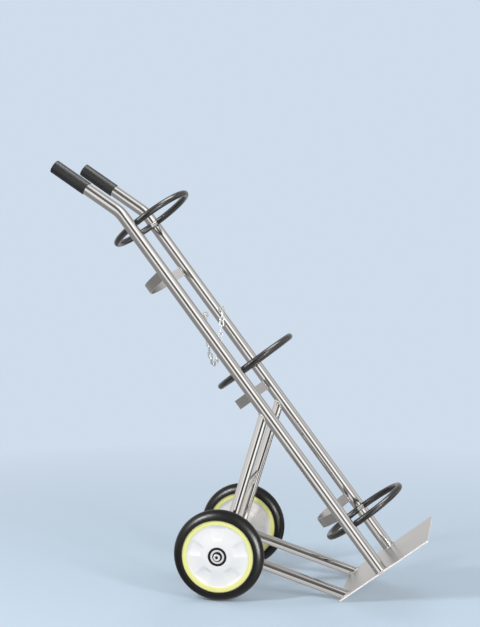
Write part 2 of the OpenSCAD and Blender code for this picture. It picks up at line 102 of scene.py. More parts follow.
ACROSS = Vector((1, 0, 0))
UPRIGHT = Vector((0, 0, 1))
LEFT, RIGHT = 1, -1
SIDES = (LEFT, RIGHT)

# Ends of the struts' axes; the two struts of a side meet on the axle tube

UPPER_STRUT_TOP = {side: Vector((side * RAIL_X, 0, UPPER_STRUT_Z)) for side in SIDES}
STRUT_JOINT = {side: AXLE_AT + Vector((side * STRUT_X, 0, 0)) for side in SIDES}
LOWER_STRUT_FOOT = {side: Vector((side * STRUT_X, LOWER_FOOT_Y, 0)) for side in SIDES}


def stand(point):
    """The place in the leaning model of a point of the upright drawing."""
    return Matrix.Rotation(-LEAN, 3, "X") @ point + SHIFT


def leaning_line(start, end):
    """The way from one point of the upright drawing to another, in the leaning model."""
    return stand(end) - stand(start)


RAIL_LINE = leaning_line(Vector(), UPRIGHT)
UPPER_LINE = leaning_line(STRUT_JOINT[LEFT], UPPER_STRUT_TOP[LEFT])
LOWER_LINE = leaning_line(LOWER_STRUT_FOOT[LEFT], STRUT_JOINT[LEFT])


# Node trees


def new_material(name):
    """A material with a bare shader, as the material, its tree and the shader."""
    material = bpy.data.materials.new(name)
    material.use_nodes = True
    tree = material.node_tree
    tree.nodes.clear()
    output = tree.nodes.new("ShaderNodeOutputMaterial")
    shader = tree.nodes.new("ShaderNodeBsdfPrincipled")
    tree.links.new(shader.outputs["BSDF"], output.inputs["Surface"])
    return material, tree, shader


def add_node(tree, kind, **settings):
    """A node with its inputs set; a setting that is a socket is linked instead."""
    node = tree.nodes.new(kind)
    for key, value in settings.items():
        name = key.replace("_", " ")
        if name in node.inputs:
            if isinstance(value, bpy.types.NodeSocket):
                tree.links.new(value, node.inputs[name])
            else:
                node.inputs[name].default_value = value
        else:
            setattr(node, key, value)
    return node


def combine(tree, operation, first, second):
    """A number made of two others by a Math node."""
    node = add_node(tree, "ShaderNodeMath", operation=operation)
    tree.links.new(first, node.inputs[0])
    tree.links.new(second, node.inputs[1])
    return node.outputs["Value"]


def mix_shaders(tree, amount, low, high):
    """A shader that goes from low to high with the amount."""
    node = add_node(tree, "ShaderNodeMixShader", Fac=amount)
    tree.links.new(low, node.inputs[1])
    tree.links.new(high, node.inputs[2])
    return node.outputs["Shader"]


def object_place(tree, turn=(0, 0, 0), size=(1, 1, 1)):
    """Object coordinates for a pattern whose own axes are turned and sized as given."""
    coordinates = tree.nodes.new("ShaderNodeTexCoord")
    mapping = add_node(tree, "ShaderNodeMapping", vector_type="TEXTURE",
                       Vector=coordinates.outputs["Object"], Rotation=turn, Scale=size)
    return mapping.outputs["Vector"]


def noise(tree, place, scale, detail=3.0, roughness=0.55):
    node = add_node(tree, "ShaderNodeTexNoise", Vector=place, Scale=scale, Detail=detail,
                    Roughness=roughness)
    return node.outputs["Fac"]


def between(tree, amount, low, high, start=0.3, end=0.7):
    """A number that goes from low to high as amount goes from start to end."""
    node = add_node(tree, "ShaderNodeMapRange", Value=amount, From_Min=start, From_Max=end,
                    To_Min=low, To_Max=high)
    return node.outputs["Result"]


def colours_between(tree, amount, low, high, start=0.3, end=0.7):
    """A colour that goes from low to high as amount goes from start to end."""
    ramp = add_node(tree, "ShaderNodeValToRGB", Fac=amount)
    first, last = ramp.color_ramp.elements
    first.position, first.color = start, (*low, 1)
    last.position, last.color = end, (*high, 1)
    return ramp.outputs["Color"]


def bump(tree, height, distance, strength):
    node = add_node(tree, "ShaderNodeBump", Height=height, Distance=distance, Strength=strength)
    return node.outputs["Normal"]


# Finishes: rough is a pair of the least and the most roughness, and grain a pair of
# the pattern's scale and the depth of its relief

POLISH_LINE = (0.0012, 0.0012, 0.11)
SMUDGE_SCALE = 9.0
SMUDGE_DULLING = 0.05
CLEAN_STEEL = (1.0, 0.98, 0.955)
SMUDGED_STEEL = (0.93, 0.91, 0.88)
PLATING_PATCH_SCALE = 60.0
PLATING_SHADE = (0.86, 0.86, 0.86)
FINE_RELIEF = 0.000005
BLOOM_SCALE = 14.0
BARE_RUBBER = (1.0, 1.0, 1.03)
BLOOMED_RUBBER = (1.7, 1.7, 1.72)
PEEL_SCALE = 420.0
PEEL_RELIEF = 0.00008
MOULDING_PATCH_SCALE = 11.0
HEAT_SCALE = 70.0
HEAT_BLUE = (0.52, 0.53, 0.57)
HEAT_STRAW = (0.62, 0.58, 0.5)
BEAD_ROUGH = (0.24, 0.36)
BEAD_GRAIN = (2600.0, 0.00001)


def tinted(tone, shares):
    """A colour whose channels are shares of a tone, which is a number or a colour."""
    channels = tone if isinstance(tone, tuple) else (tone, tone, tone)
    return tuple(channel * share for channel, share in zip(channels, shares))


def polished_steel(name, turn, tone=0.52, rough=(0.05, 0.1)):
    """Polished stainless with fine lines along the local Z that turn gives."""
    material, tree, shader = new_material(name)
    along = object_place(tree, turn, POLISH_LINE)
    lines = noise(tree, along, scale=1.0, detail=4.0, roughness=0.6)
    smudges = noise(tree, object_place(tree), SMUDGE_SCALE)
    shader.inputs["Metallic"].default_value = 1.0
    colour = colours_between(tree, smudges, tinted(tone, SMUDGED_STEEL), tinted(tone, CLEAN_STEEL))
    tree.links.new(colour, shader.inputs["Base Color"])
    line_rough = between(tree, lines, *rough)
    smudge_rough = between(tree, smudges, 0.0, SMUDGE_DULLING, start=0.45, end=0.75)
    total = combine(tree, "ADD", line_rough, smudge_rough)
    tree.links.new(total, shader.inputs["Roughness"])
    return material


def plated_steel(name, tone, rough, grain):
    """Zinc-plated or ground steel with a fine crystalline grain."""
    material, tree, shader = new_material(name)
    place = object_place(tree)
    grain_scale, relief = grain
    crystals = noise(tree, place, grain_scale, detail=2.0)
    patches = noise(tree, place, PLATING_PATCH_SCALE)
    shader.inputs["Metallic"].default_value = 1.0
    colour = colours_between(tree, patches, tinted(tone, PLATING_SHADE), tone)
    tree.links.new(colour, shader.inputs["Base Color"])
    tree.links.new(between(tree, crystals, *rough), shader.inputs["Roughness"])
    tree.links.new(bump(tree, crystals, relief, strength=0.4), shader.inputs["Normal"])
    return material


def black_rubber(name, tone, rough, grain, shine=0.25):
    """Black rubber with a pressed grain and a bloom that dulls it in patches."""
    material, tree, shader = new_material(name)
    shader.inputs["Specular IOR Level"].default_value = shine
    place = object_place(tree)
    grain_scale, relief = grain
    pressed = noise(tree, place, grain_scale, detail=4.0, roughness=0.6)
    bloom = noise(tree, place, BLOOM_SCALE, detail=4.0)
    colour = colours_between(tree, bloom, tinted(tone, BARE_RUBBER), tinted(tone, BLOOMED_RUBBER),
                             start=0.35, end=0.8)
    tree.links.new(colour, shader.inputs["Base Color"])
    tree.links.new(between(tree, bloom, *rough), shader.inputs["Roughness"])
    tree.links.new(bump(tree, pressed, relief, strength=0.5), shader.inputs["Normal"])
    return material


def moulded_plastic(name, tone, shade, rough):
    """Moulded plastic or thick paint: an even colour with a faint orange peel."""
    material, tree, shader = new_material(name)
    place = object_place(tree)
    peel = noise(tree, place, PEEL_SCALE, detail=2.0)
    patches = noise(tree, place, MOULDING_PATCH_SCALE)
    tree.links.new(colours_between(tree, patches, shade, tone), shader.inputs["Base Color"])
    tree.links.new(between(tree, patches, *rough), shader.inputs["Roughness"])
    tree.links.new(bump(tree, peel, PEEL_RELIEF, strength=0.35), shader.inputs["Normal"])
    return material


def weld_metal():
    """Weld bead: duller than the tube, with a straw and blue heat tint."""
    material, tree, shader = new_material("weld_metal")
    place = object_place(tree)
    grain_scale, relief = BEAD_GRAIN
    heat = noise(tree, place, HEAT_SCALE, detail=2.0)
    crystals = noise(tree, place, grain_scale)
    shader.inputs["Metallic"].default_value = 1.0
    tint = colours_between(tree, heat, HEAT_BLUE, HEAT_STRAW, start=0.35, end=0.65)
    tree.links.new(tint, shader.inputs["Base Color"])
    tree.links.new(between(tree, crystals, *BEAD_ROUGH), shader.inputs["Roughness"])
    tree.links.new(bump(tree, crystals, relief, strength=0.5), shader.inputs["Normal"])
    return material


def along_turn(direction):
    """The rotation that brings a pattern's Z onto a direction of the Y-Z plane."""
    return (-math.atan2(direction.y, direction.z), 0, 0)


ACROSS_TURN = (0, math.radians(90), 0)

FINISHES = {
    # The tubes and bars are one polished stainless: the upper struts and the cross finish take a
    # lighter tone and the lower struts and cradles a darker one than the rails, painted light and
    # shade in lit and shaded copies of one steel
    "rail": polished_steel("rail_steel", along_turn(RAIL_LINE)),
    "upper_strut": polished_steel("upper_strut_steel_painted_light", along_turn(UPPER_LINE), tone=0.57),
    "lower_strut": polished_steel("lower_strut_steel_painted_shade", along_turn(LOWER_LINE), tone=0.48),
    "cross": polished_steel("cross_steel_painted_light", ACROSS_TURN, tone=0.75, rough=(0.14, 0.26)),
    "plate": polished_steel("plate_steel", ACROSS_TURN, tone=0.72, rough=(0.29, 0.36)),
    "cradle": polished_steel("cradle_steel_painted_shade", ACROSS_TURN, tone=0.43, rough=(0.14, 0.26)),
    # Painted shade: the cross bar's narrow edge faces take a dark finish that draws dark lines
    # along its edges
    "bar_edge": plated_steel("painted_shade_bar_edge", (0.14, 0.135, 0.13), rough=(0.4, 0.55),
                             grain=(900.0, 0.00003)),
    # Painted highlight: the plate's edge faces take a near-white finish so that its edge reads as a
    # bright line
    "plate_edge": plated_steel("painted_highlight_plate_edge", (0.97, 0.96, 0.94), rough=(0.42, 0.56),
                               grain=(900.0, 0.00006)),
    "rod": plated_steel("hoop_rod_steel", (0.5, 0.5, 0.51), rough=(0.3, 0.5),
                        grain=(900.0, 0.00004)),
    "bearing": plated_steel("ground_bearing_steel", (0.5, 0.5, 0.51), rough=(0.15, 0.3),
                            grain=(1500.0, FINE_RELIEF)),
    "chain": plated_steel("zinc_chain", (0.74, 0.76, 0.78), rough=(0.22, 0.4),
                          grain=(1200.0, FINE_RELIEF)),
    "bolt": plated_steel("zinc_bolt", (0.72, 0.73, 0.74), rough=(0.27, 0.33),
                         grain=(500.0, 0.000001)),
    # Painted shade: a near-black finish on the hex socket's faces stands in for the shade inside
    # the socket
    "socket": plated_steel("painted_socket_shade", (0.045, 0.043, 0.04), rough=(0.35, 0.5),
                           grain=(900.0, FINE_RELIEF)),
    "sleeve": black_rubber("hose_rubber", 0.006, rough=(0.2, 0.3), grain=(900.0, 0.00003),
                           shine=0.6),
    "grip": black_rubber("grip_rubber", 0.012, rough=(0.36, 0.5), grain=(1300.0, 0.00016)),
    "tyre": black_rubber("tyre_rubber", 0.0018, rough=(0.3, 0.36), grain=(700.0, 0.00003),
                         shine=0.16),
    "seal": black_rubber("seal_rubber", 0.008, rough=(0.4, 0.55), grain=(1500.0, 0.00008)),
    "rim": moulded_plastic("rim_yellow", tone=(0.9, 0.86, 0.33), shade=(0.86, 0.82, 0.29),
                           rough=(0.34, 0.46)),
    "hub": moulded_plastic("hub_white", tone=(0.875, 0.848, 0.828), shade=(0.85, 0.824, 0.804),
                           rough=(0.36, 0.5)),
}

# Endings of the nodes' names and the finish of each, in the order that they are tried;
# the axle tube, the cross bar and the chain eyes fit none and take the cross bar's

FINISH_BY_ENDING = (
    ("_sleeve", "sleeve"), ("_grip", "grip"), ("_hoop_ring", "rod"), ("_tyre", "tyre"),
    ("_rim", "rim"), ("_hub", "hub"), ("_seals", "seal"), ("_sealing_washer", "seal"),
    ("_washer", "bolt"), ("_bolt", "bolt"), ("_collar", "bearing"), ("_spacer", "bearing"),
    ("_rings", "bearing"), ("_balls", "bearing"), ("_shaft", "bearing"),
    ("chain_links", "chain"), ("chain_hook", "chain"), ("_rail", "rail"),
    ("_upper_strut", "upper_strut"), ("_lower_strut", "lower_strut"), ("toe_plate", "plate"),
    ("_cradle", "cradle"),
)


def finish_of(node):
    """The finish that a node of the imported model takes, by its name."""
    for ending, finish in FINISH_BY_ENDING:
        if node.endswith(ending):
            return FINISHES[finish]
    return FINISHES["cross"]


for node, piece in frame["nodes"].items():
    piece.data.materials.clear()
    piece.data.materials.append(finish_of(node))


# Eased copies: nodes whose sharp edges are rounded over

MERGE_GAP = 1e-5
FLAT_ANGLE = math.radians(0.5)
SHARP_ANGLE = math.radians(40)
EDGE_ROUND = 0.0006
BOLT_EDGE_ROUND = 0.0003
PLATE_FACE_LEAN = 0.97
BAR_EDGE_LEAN = 0.7
SOCKET_R = 0.0048
SOCKET_DEPTH = 0.0051


def body_of(node):
    """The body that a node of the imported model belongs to."""
    bodies = frame["record"]["behaviour"]["bodies"]
    return next(body for body, nodes in bodies.items() if node in nodes)


def node_centre(node):
    low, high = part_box(node)
    return (Vector(low) + Vector(high)) / 2


def new_piece(name, mesh, node):
    """Makes an object that stands for a node: it rides on its body and has its finish."""
    piece = bpy.data.objects.new(name, mesh)
    bpy.context.scene.collection.objects.link(piece)
    mesh.materials.clear()
    mesh.materials.append(finish_of(node))
    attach(piece, body_of(node))
    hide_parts(node)


def eased_mesh(node, width):
    """A merged copy of a node's mesh with its sharp edges rounded over."""
    form = bmesh.new()
    form.from_mesh(frame["nodes"][node].data)
    bmesh.ops.remove_doubles(form, verts=form.verts, dist=MERGE_GAP)
    bmesh.ops.dissolve_limit(form, angle_limit=FLAT_ANGLE, verts=form.verts, edges=form.edges)
    sharp = [edge for edge in form.edges
             if edge.is_manifold and edge.calc_face_angle() > SHARP_ANGLE]
    bevelled = bmesh.ops.bevel(form, geom=sharp, offset=width, segments=3, profile=0.5,
                               affect="EDGES", clamp_overlap=True)
    for face in bevelled["faces"]:
        face.smooth = True
    mesh = bpy.data.meshes.new(node)
    form.to_mesh(mesh)
    form.free()
    return mesh


def toe_plate():
    """The plate with eased edges; the faces round its cut edge take a near-white finish, a painted
    highlight along the plate's edge.
    """
    mesh = eased_mesh("toe_plate", EDGE_ROUND)
    new_piece("eased_toe_plate", mesh, "toe_plate")
    mesh.materials.append(FINISHES["plate_edge"])
    for face in mesh.polygons:
        face.material_index = int(abs(face.normal.dot(RAIL_LINE)) < PLATE_FACE_LEAN)


def cross_bar():
    """The bar between the upper struts with eased edges; its two narrow edge faces take a dark
    finish, painted shade along the bar's edges.
    """
    mesh = eased_mesh("strut_cross_bar", EDGE_ROUND)
    new_piece("eased_cross_bar", mesh, "strut_cross_bar")
    mesh.materials.append(FINISHES["bar_edge"])
    widthways = Vector((0, UPPER_LINE.y, UPPER_LINE.z)).normalized()
    for face in mesh.polygons:
        face.material_index = int(abs(face.normal.dot(widthways)) > BAR_EDGE_LEAN)


def axle_bolt(node):
    """An axle bolt with an eased head, and painted shade in the socket that its axis runs through.
    """
    low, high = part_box(node)
    centre = node_centre(node)
    outboard = math.copysign(1, centre.x)
    head_top = max(abs(low[0]), abs(high[0]))
    mesh = eased_mesh(node, BOLT_EDGE_ROUND)
    new_piece(f"eased_{node}", mesh, node)
    mesh.materials.append(FINISHES["socket"])
    for face in mesh.polygons:
        middle = face.center
        off_axis = math.hypot(middle.y - centre.y, middle.z - centre.z)
        depth = head_top - outboard * middle.x
        inside = off_axis < SOCKET_R and EDGE_ROUND < depth < SOCKET_DEPTH
        face.material_index = int(inside)


toe_plate()
cross_bar()
axle_bolt("left_axle_bolt")
axle_bolt("right_axle_bolt")


# Hub mouldings: turned shapes whose pockets are dished softly into both faces

HUB_BORE_R = 0.01995
BEARING_SEAT_R = 0.02355
SEAL_SEAT_R = 0.02555
BEARING_DEPTH = 0.018
SEAL_DEPTH = 0.004
HUB_HALF = 0.025
HUB_WEB = 0.019
HUB_BOSS_R = 0.028
HUB_SKIRT_R = 0.070
HUB_R = 0.08545
LIP_R = 0.0012
LIP_TURNS = (90, 60, 30)
COVE_W = 0.005
COVE_RISE = 0.0012
POCKET_COUNT = 5
POCKET_TURN = math.radians(34.6)
POCKET_START = 0.0415
POCKET_END = 0.0848
POCKET_DEPTH = 0.0042
POCKET_RISE = 0.009
POCKET_FALL = 0.008
POCKET_FLAT = 2.6
HUB_STEPS = 240
FACE_STEPS = 44


def ease(amount):
    """A smooth step from 0 to 1."""
    amount = min(max(amount, 0.0), 1.0)
    return amount * amount * (3 - 2 * amount)


def hub_face(radius, turn):
    """Height of a hub's face above its middle, at a radius and a turn about the axle."""
    slope = ease((radius - HUB_BOSS_R) / (HUB_SKIRT_R - HUB_BOSS_R))
    cove = ease((radius - HUB_R + COVE_W) / COVE_W)
    height = HUB_HALF + (HUB_WEB - HUB_HALF) * slope + COVE_RISE * cove
    pitch = 2 * math.pi / POCKET_COUNT
    from_middle = abs(turn % pitch - pitch / 2) / (POCKET_TURN / 2)
    scoop = max(1 - from_middle ** POCKET_FLAT, 0.0)
    rise = ease((radius - POCKET_START) / POCKET_RISE)
    fall = ease((POCKET_END - radius) / POCKET_FALL)
    return height - POCKET_DEPTH * scoop * rise * fall


def hub_section(turn):
    """A hub's half section at a turn: pairs of radius and height, outboard face first."""
    face = []
    for step in range(FACE_STEPS + 1):
        radius = SEAL_SEAT_R + LIP_R + (HUB_R - SEAL_SEAT_R - LIP_R) * step / FACE_STEPS
        face.append((radius, hub_face(radius, turn)))
    lip = []
    for degrees in LIP_TURNS:
        lip_turn = math.radians(degrees)
        lip.append((SEAL_SEAT_R + LIP_R * (1 - math.sin(lip_turn)),
                    HUB_HALF - LIP_R * (1 - math.cos(lip_turn))))
    seal_floor = HUB_HALF - SEAL_DEPTH
    seat_floor = HUB_HALF - BEARING_DEPTH
    bore = [(HUB_BORE_R, seat_floor), (BEARING_SEAT_R, seat_floor), (BEARING_SEAT_R, seal_floor),
            (SEAL_SEAT_R, seal_floor)]
    outboard = bore + lip + face
    inboard = [(radius, -height) for radius, height in reversed(outboard)]
    return outboard + inboard


def hub_mesh(node, side):
    """A hub turned about the axle of one wheel, outboard face away from the frame."""
    centre = node_centre(node)
    first_rib = leaning_line(Vector(), -side * UPRIGHT)
    turns = [2 * math.pi * i / HUB_STEPS for i in range(HUB_STEPS)]
    sections = [hub_section(turn) for turn in turns]
    count = len(sections[0])
    points = []
    for turn, section in zip(turns, sections):
        outward = Matrix.Rotation(turn, 3, "X") @ first_rib
        for radius, height in section:
            points.append(centre + side * height * ACROSS + radius * outward)
    faces = []
    for i in range(HUB_STEPS):
        here, there = i * count, (i + 1) % HUB_STEPS * count
        for j in range(count):
            k = (j + 1) % count
            faces.append((here + j, here + k, there + k, there + j))
    mesh = bpy.data.meshes.new("hub_moulding")
    mesh.from_pydata(points, [], faces)
    form = bmesh.new()
    form.from_mesh(mesh)
    bmesh.ops.recalc_face_normals(form, faces=form.faces)
    form.to_mesh(mesh)
    form.free()
    mesh.shade_smooth()
    mesh.set_sharp_from_angle(angle=SHARP_ANGLE)
    return mesh


new_piece("left_hub_moulding", hub_mesh("left_hub", LEFT), "left_hub")
new_piece("right_hub_moulding", hub_mesh("right_hub", RIGHT), "right_hub")


# Weld beads: paths along the joints, and a node tree that lays ripples on them

TUBE_BEAD_R = 0.0027
THIN_BEAD_R = 0.0017
RIPPLE_PITCH = 0.0017
RIPPLE_SEGMENTS = 8
RIPPLE_RINGS = 5
RIPPLE_LEAST = (0.85, 0.85, 0.8)
RIPPLE_MOST = (1.1, 1.1, 1.0)
RIPPLE_SEED = 7
TUBE_SEAM_STEPS = 72
HOOP_SEAM_STEPS = 24
CRADLE_SEAM_STEPS = 12
BAR_SEAM_STEPS = 16
EYE_SEAM_STEPS = 16


def hit_on_tube(start, heading, axis_point, axis, radius):
    """The first point of a ray on a round tube; a ray that only grazes it touches its side."""
    axis = axis.normalized()
    heading = heading.normalized()
    offset = start - axis_point
    flat_heading = heading - axis * heading.dot(axis)
    flat_offset = offset - axis * offset.dot(axis)
    a = flat_heading.length_squared
    b = 2 * flat_heading.dot(flat_offset)
    c = flat_offset.length_squared - radius * radius
    root = math.sqrt(max(b * b - 4 * a * c, 0.0))
    return start + heading * ((-b - root) / (2 * a))


def rim_points(centre, heading, radius, count):
    """Points of a circle square to a heading."""
    first = heading.orthogonal().normalized()
    second = heading.normalized().cross(first)
    turns = [2 * math.pi * i / count for i in range(count)]
    return [centre + radius * (math.cos(t) * first + math.sin(t) * second) for t in turns]


def closed(points):
    """A seam that runs back to its first point."""
    return points + points[:1]


def strut_on_tube(far_end, near_end, axis_point, axis, radius):
    """The seam where a strut's near end runs onto a tube."""
    heading = near_end - far_end
    middle = (far_end + near_end) / 2
    ring = rim_points(middle, heading, STRUT_R, TUBE_SEAM_STEPS)
    return closed([hit_on_tube(point, heading, axis_point, axis, radius) for point in ring])


def lower_strut_seam(side):
    """The seam where a lower strut runs onto the axle tube and the upper strut."""
    foot, joint = LOWER_STRUT_FOOT[side], STRUT_JOINT[side]
    on_axle = strut_on_tube(foot, joint, AXLE_AT, ACROSS, AXLE_TUBE_R)
    on_upper = strut_on_tube(foot, joint, joint, UPPER_STRUT_TOP[side] - joint, STRUT_R)
    return [min(pair, key=lambda point: (point - foot).length) for pair in zip(on_axle, on_upper)]


def strut_on_plate(far_end, near_end):
    """The seam where a strut's near end stands on the toe plate."""
    heading = (near_end - far_end).normalized()
    ring = rim_points(far_end, heading, STRUT_R, TUBE_SEAM_STEPS)
    return closed([point - heading * (point.z / heading.z) for point in ring])


def cradle_seams(height, gap, side):
    """The upright seams where the two faces of a cradle's leg meet a rail."""
    leg_turn = math.acos((BAY_R + gap + CRADLE_T / 2) / RAIL_REACH)
    turn = math.asin(BAY_OFFSET / RAIL_REACH) + leg_turn
    outward = Vector((math.cos(turn), math.sin(turn), 0))
    along = Vector((math.sin(turn), -math.cos(turn), 0))
    rail = Vector((RAIL_X, 0, 0))
    steps = [CRADLE_W * (i / CRADLE_SEAM_STEPS - 0.5) for i in range(CRADLE_SEAM_STEPS + 1)]
    seams = []
    for face in (BAY_R + gap, BAY_R + gap + CRADLE_T):
        start = outward * face - Vector((0, BAY_OFFSET, 0))
        foot = hit_on_tube(start, along, rail, UPRIGHT, RAIL_R)
        foot.x *= side
        seams.append([foot + UPRIGHT * (height + step) for step in steps])
    return seams


def hoop_seam(height, side):
    """The closed seam round the patch where a hoop rod is let into a rail."""
    turn = math.asin(BAY_OFFSET / RAIL_REACH)
    half_length = math.sqrt(2 * RAIL_R * HOOP_SEAT)
    points = []
    for i in range(HOOP_SEAM_STEPS):
        angle = 2 * math.pi * i / HOOP_SEAM_STEPS
        along = half_length * math.cos(angle)
        depth = HOOP_ROD_R - HOOP_SEAT + along * along / (2 * RAIL_R)
        up = math.copysign(math.sqrt(max(HOOP_ROD_R ** 2 - depth ** 2, 0)), math.sin(angle))
        radius = HOOP_R + depth
        x = radius * math.cos(turn) - along * math.sin(turn)
        y = radius * math.sin(turn) + along * math.cos(turn) - BAY_OFFSET
        points.append(Vector((side * x, y, height + up)))
    return closed(points)


def cross_bar_seams(side):
    """Seams along both faces of the cross bar where it meets an upper strut."""
    top = UPPER_STRUT_TOP[side]
    run = (STRUT_JOINT[side] - top).normalized()
    middle = top + run * CROSS_BAR_DROP
    width_way = Vector((0, run.y, run.z)).normalized()
    thick_way = ACROSS.cross(width_way)
    seams = []
    for face in (-CROSS_BAR_T / 2, CROSS_BAR_T / 2):
        seam = []
        for i in range(BAR_SEAM_STEPS + 1):
            start = Vector((0, middle.y, middle.z)) + thick_way * face
            start += width_way * CROSS_BAR_W * (i / BAR_SEAM_STEPS - 0.5)
            seam.append(hit_on_tube(start, ACROSS * side, top, run, STRUT_R))
        seams.append(seam)
    return seams


def tube_joints(side):
    """Seams of the tubes on one side: rail on plate, and struts on rail, axle tube and plate."""
    rail = Vector((side * RAIL_X, 0, 0))
    top, joint = UPPER_STRUT_TOP[side], STRUT_JOINT[side]
    yield closed(rim_points(rail, UPRIGHT, RAIL_R, TUBE_SEAM_STEPS))
    yield strut_on_tube(joint, top, rail, UPRIGHT, RAIL_R)
    yield strut_on_tube(top, joint, AXLE_AT, ACROSS, AXLE_TUBE_R)
    yield lower_strut_seam(side)
    yield strut_on_plate(joint, LOWER_STRUT_FOOT[side])


def thin_joints(side):
    """Seams of what is welded to the tubes on one side: bars, hoops and chain eye."""
    yield from cross_bar_seams(side)
    for height, gap in CRADLES:
        yield from cradle_seams(height, gap, side)
    for height in HOOP_HEIGHTS:
        yield hoop_seam(height, side)
    eye_way = Vector((-side * math.sin(EYE_TURN), -math.cos(EYE_TURN), 0))
    eye_root = Vector((side * RAIL_X, 0, EYE_Z)) + eye_way * RAIL_R
    yield closed(rim_points(eye_root, eye_way, EYE_WIRE_R, EYE_SEAM_STEPS))


def bead_tree(material):
    """Node tree that lays overlapping ripples along every path of the mesh given."""
    tree = bpy.data.node_groups.new("bead_tree", "GeometryNodeTree")
    sockets = tree.interface
    sockets.new_socket("Joint paths", in_out="INPUT", socket_type="NodeSocketGeometry")
    sockets.new_socket("Ripple pitch", in_out="INPUT", socket_type="NodeSocketFloat")
    sockets.new_socket("Bead radius", in_out="INPUT", socket_type="NodeSocketFloat")
    sockets.new_socket("Beads", in_out="OUTPUT", socket_type="NodeSocketGeometry")
    inputs = tree.nodes.new("NodeGroupInput")
    outputs = tree.nodes.new("NodeGroupOutput")

    curve = add_node(tree, "GeometryNodeMeshToCurve", Mesh=inputs.outputs["Joint paths"])
    points = add_node(tree, "GeometryNodeCurveToPoints", mode="LENGTH",
                      Curve=curve.outputs["Curve"], Length=inputs.outputs["Ripple pitch"])
    ripple = add_node(tree, "GeometryNodeMeshUVSphere", Segments=RIPPLE_SEGMENTS,
                      Rings=RIPPLE_RINGS, Radius=inputs.outputs["Bead radius"])
    rounded = add_node(tree, "GeometryNodeSetShadeSmooth", Geometry=ripple.outputs["Mesh"])
    uneven = tree.nodes.new("FunctionNodeRandomValue")
    uneven.data_type = "FLOAT_VECTOR"
    uneven.inputs["Min"].default_value = RIPPLE_LEAST
    uneven.inputs["Max"].default_value = RIPPLE_MOST
    uneven.inputs["Seed"].default_value = RIPPLE_SEED
    laid = add_node(tree, "GeometryNodeInstanceOnPoints", Points=points.outputs["Points"],
                    Instance=rounded.outputs["Geometry"], Rotation=points.outputs["Rotation"])
    tree.links.new(uneven.outputs["Value"], laid.inputs["Scale"])
    real = add_node(tree, "GeometryNodeRealizeInstances", Geometry=laid.outputs["Instances"])
    painted = add_node(tree, "GeometryNodeSetMaterial", Geometry=real.outputs["Geometry"],
                       Material=material)
    tree.links.new(painted.outputs["Geometry"], outputs.inputs["Beads"])
    return tree


def socket_id(tree, name):
    """The identifier of a tree's input, by its name."""
    return next(item.identifier for item in tree.interface.items_tree
                if item.name == name and item.in_out == "INPUT")


def weld_beads(name, seams, radius, tree):
    """Beads along a list of seams, given in the upright drawing, as one plain mesh."""
    points, edges = [], []
    for seam in seams:
        first = len(points)
        points.extend(stand(point) for point in seam)
        edges.extend((i, i + 1) for i in range(first, first + len(seam) - 1))
    paths = bpy.data.meshes.new("joint_paths")
    paths.from_pydata(points, edges, [])
    guide = bpy.data.objects.new("joint_paths", paths)
    bpy.context.scene.collection.objects.link(guide)
    modifier = guide.modifiers.new("beads", "NODES")
    modifier.node_group = tree
    modifier[socket_id(tree, "Ripple pitch")] = RIPPLE_PITCH
    modifier[socket_id(tree, "Bead radius")] = radius
    evaluated = guide.evaluated_get(bpy.context.evaluated_depsgraph_get())
    mesh = bpy.data.meshes.new_from_object(evaluated)
    bpy.data.objects.remove(guide)
    beads = bpy.data.objects.new(name, mesh)
    bpy.context.scene.collection.objects.link(beads)
    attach(beads, "frame")


bead_nodes = bead_tree(weld_metal())
tube_seams = [seam for side in SIDES for seam in tube_joints(side)]
thin_seams = [seam for side in SIDES for seam in thin_joints(side)]
weld_beads("tube_weld_beads", tube_seams, TUBE_BEAD_R, bead_nodes)
weld_beads("thin_weld_beads", thin_seams, THIN_BEAD_R, bead_nodes)


# Studio: pale floor that fades into the backdrop, soft lamps, and the camera

BACKDROP = (0.625, 0.72, 0.835)
FLOOR_COLOUR = (0.548, 0.675, 0.81)
FLOOR_ROUGH = 0.7
FLOOR_R = 40
FLOOR_CORNERS = 96
FLOOR_FADE = (0.7, 2.4)
EVEN_LIGHT = (1, 0.99, 0.97)
EVEN_LIGHT_STRENGTH = 0.55

# What polished steel mirrors: pairs of a place across the room, from its front (-1)
# to its back (1), and a level of light

WALL_LEVELS = ((-1.0, 0.65), (-0.76, 0.7), (-0.7, 1.0), (-0.63, 2.1), (-0.39, 2.1), (-0.31, 0.2),
               (0.1, 0.2), (0.18, 1.7), (0.27, 1.7), (0.35, 1.1), (1.0, 1.1))
FLOOR_LEVELS = ((-1.0, 1.9), (-0.6, 1.9), (-0.51, 0.08), (-0.06, 0.08), (0.06, 1.1), (0.18, 1.1),
                (0.26, 1.6), (0.45, 1.6), (0.54, 0.5), (1.0, 0.42))
DEEP_FLOOR_LEVELS = ((-1.0, 0.95), (0.4, 0.95), (0.52, 0.45), (1.0, 0.45))
BACKDROP_LEVELS = ((-1.0, 1.1), (-0.76, 1.1), (-0.64, 0.6), (-0.45, 0.5), (-0.3, 0.71),
                   (0.29, 0.71), (0.45, 0.6), (0.65, 0.9), (1.0, 0.9))
LOW_BACKDROP_LEVELS = ((-1.0, 0.12), (-0.5, 0.12), (-0.3, 0.71), (0.1, 0.71), (0.25, 0.3),
                       (0.42, 0.3), (0.58, 0.45), (1.0, 0.45))
CEILING_LEVELS = ((-1.0, 1.7), (-0.31, 1.7), (-0.22, 0.5), (1.0, 0.5))

# Where one part of that room gives way to the next: by height for the first three, and
# by distance ahead of the camera for the others

DEEP_FLOOR_END = (-0.65, -0.5)
FLOOR_END = (-0.165, -0.115)
CEILING_START = (0.6, 0.8)
LOW_BACKDROP_START = (0.2, 0.4)
BACKDROP_START = (-0.12, 0.12)


